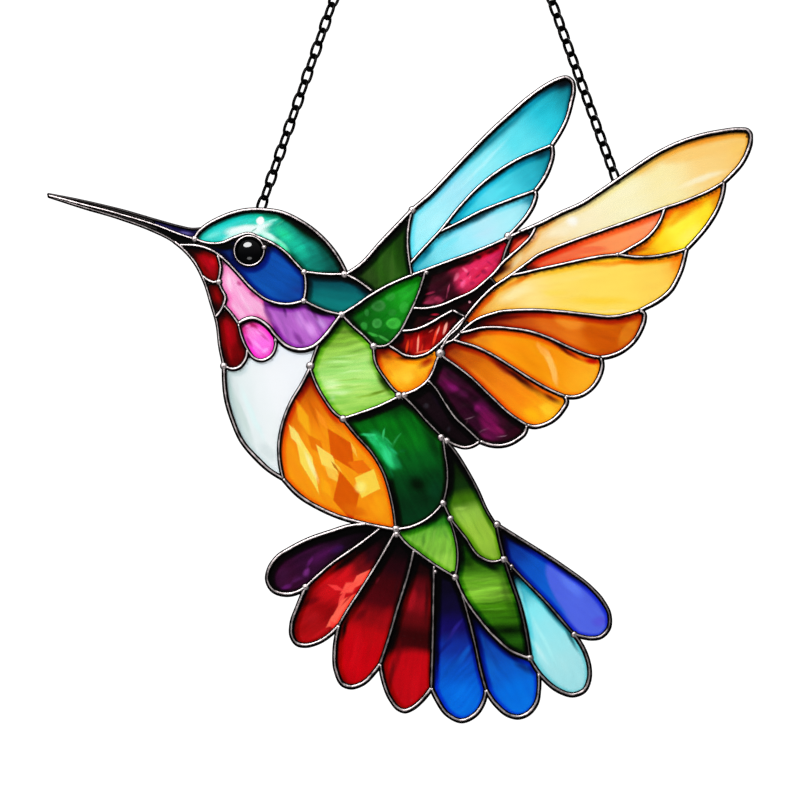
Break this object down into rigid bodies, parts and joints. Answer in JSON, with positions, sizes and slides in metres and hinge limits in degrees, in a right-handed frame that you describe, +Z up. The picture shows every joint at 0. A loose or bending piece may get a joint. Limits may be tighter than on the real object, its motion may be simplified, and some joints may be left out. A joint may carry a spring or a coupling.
{
  "type": "hanging glass ornament",
  "caption": "Flat hummingbird of coloured glass panes in soldered lead lines, hung by its crown and wing from strands of chain that meet at a ring.",
  "frame": {"origin": "the inside top of the ring, where a hook carries the ornament", "axes": "+Z up, along the line of hang; -Y is the panel's front; the bird's bill points toward -X and its raised wing toward +X"},
  "size_m": [0.3005, 0.0091, 0.4466],
  "materials": {
    "solder": "soldered bead with a dark patina, worn bright along its top",
    "ring_steel": "satin dark wire",
    "chain_steel": "satin black wire",
    "eye_black": "polished black glass, opaque",
    "glass_bill_upper": "streaky art glass, glossy",
    "glass_bill_lower": "streaky art glass, glossy",
    "glass_crown": "streaky art glass, glossy",
    "glass_cheek": "streaky art glass, glossy",
    "glass_nape": "streaky art glass, glossy",
    "glass_throat_top": "streaky art glass, glossy",
    "glass_throat_middle": "streaky art glass, glossy",
    "glass_throat_low": "streaky art glass, glossy",
    "glass_gorget": "streaky art glass, glossy",
    "glass_gorget_lobe": "streaky art glass, glossy",
    "glass_breast": "streaky art glass, glossy",
    "glass_belly": "streaky art glass, glossy",
    "glass_shoulder": "streaky art glass, glossy",
    "glass_back": "streaky art glass, glossy",
    "glass_scapular": "streaky art glass, glossy",
    "glass_wing_forest": "streaky art glass, glossy",
    "glass_wing_ice": "streaky art glass, glossy",
    "glass_wing_aqua": "streaky art glass, glossy",
    "glass_wing_sky": "streaky art glass, glossy",
    "glass_ruby_upper": "streaky art glass, glossy",
    "glass_ruby_band": "streaky art glass, glossy",
    "glass_ruby_lower": "streaky art glass, glossy",
    "glass_garnet": "streaky art glass, glossy",
    "glass_feather_cream": "streaky art glass, glossy",
    "glass_feather_coral": "streaky art glass, glossy",
    "glass_feather_yellow": "streaky art glass, glossy",
    "glass_feather_amber": "streaky art glass, glossy",
    "glass_feather_rust": "streaky art glass, glossy",
    "glass_feather_orange": "streaky art glass, glossy",
    "glass_feather_tangerine": "streaky art glass, glossy",
    "glass_amber_drop": "streaky art glass, glossy",
    "glass_feather_plum": "streaky art glass, glossy",
    "glass_feather_violet": "streaky art glass, glossy",
    "glass_leaf": "streaky art glass, glossy",
    "glass_rump": "streaky art glass, glossy",
    "glass_covert": "streaky art glass, glossy",
    "glass_tail_purple": "streaky art glass, glossy",
    "glass_tail_scarlet": "streaky art glass, glossy",
    "glass_tail_crimson": "streaky art glass, glossy",
    "glass_tail_ruby": "streaky art glass, glossy",
    "glass_tail_navy": "streaky art glass, glossy",
    "glass_tail_blue": "streaky art glass, glossy",
    "glass_tail_cyan": "streaky art glass, glossy",
    "glass_tail_indigo": "streaky art glass, glossy"
  },
  "bodies": {
    "root": {"leading": "solder", "hanging_ring": "ring_steel", "chain_left": "chain_steel", "chain_right": "chain_steel", "eye_bead": "eye_black", "glass_bill_upper": "glass_bill_upper", "glass_bill_lower": "glass_bill_lower", "glass_crown": "glass_crown", "glass_cheek": "glass_cheek", "glass_nape": "glass_nape", "glass_throat_top": "glass_throat_top", "glass_throat_middle": "glass_throat_middle", "glass_throat_low": "glass_throat_low", "glass_gorget": "glass_gorget", "glass_gorget_lobe": "glass_gorget_lobe", "glass_breast": "glass_breast", "glass_belly": "glass_belly", "glass_shoulder": "glass_shoulder", "glass_back": "glass_back", "glass_scapular": "glass_scapular", "glass_wing_forest": "glass_wing_forest", "glass_wing_ice": "glass_wing_ice", "glass_wing_aqua": "glass_wing_aqua", "glass_wing_sky": "glass_wing_sky", "glass_ruby_upper": "glass_ruby_upper", "glass_ruby_band": "glass_ruby_band", "glass_ruby_lower": "glass_ruby_lower", "glass_garnet": "glass_garnet", "glass_feather_cream": "glass_feather_cream", "glass_feather_coral": "glass_feather_coral", "glass_feather_yellow": "glass_feather_yellow", "glass_feather_amber": "glass_feather_amber", "glass_feather_rust": "glass_feather_rust", "glass_feather_orange": "glass_feather_orange", "glass_feather_tangerine": "glass_feather_tangerine", "glass_amber_drop": "glass_amber_drop", "glass_feather_plum": "glass_feather_plum", "glass_feather_violet": "glass_feather_violet", "glass_leaf": "glass_leaf", "glass_rump": "glass_rump", "glass_covert": "glass_covert", "glass_tail_purple": "glass_tail_purple", "glass_tail_scarlet": "glass_tail_scarlet", "glass_tail_crimson": "glass_tail_crimson", "glass_tail_ruby": "glass_tail_ruby", "glass_tail_navy": "glass_tail_navy", "glass_tail_blue": "glass_tail_blue", "glass_tail_cyan": "glass_tail_cyan", "glass_tail_indigo": "glass_tail_indigo"}
  },
  "joints": []
}
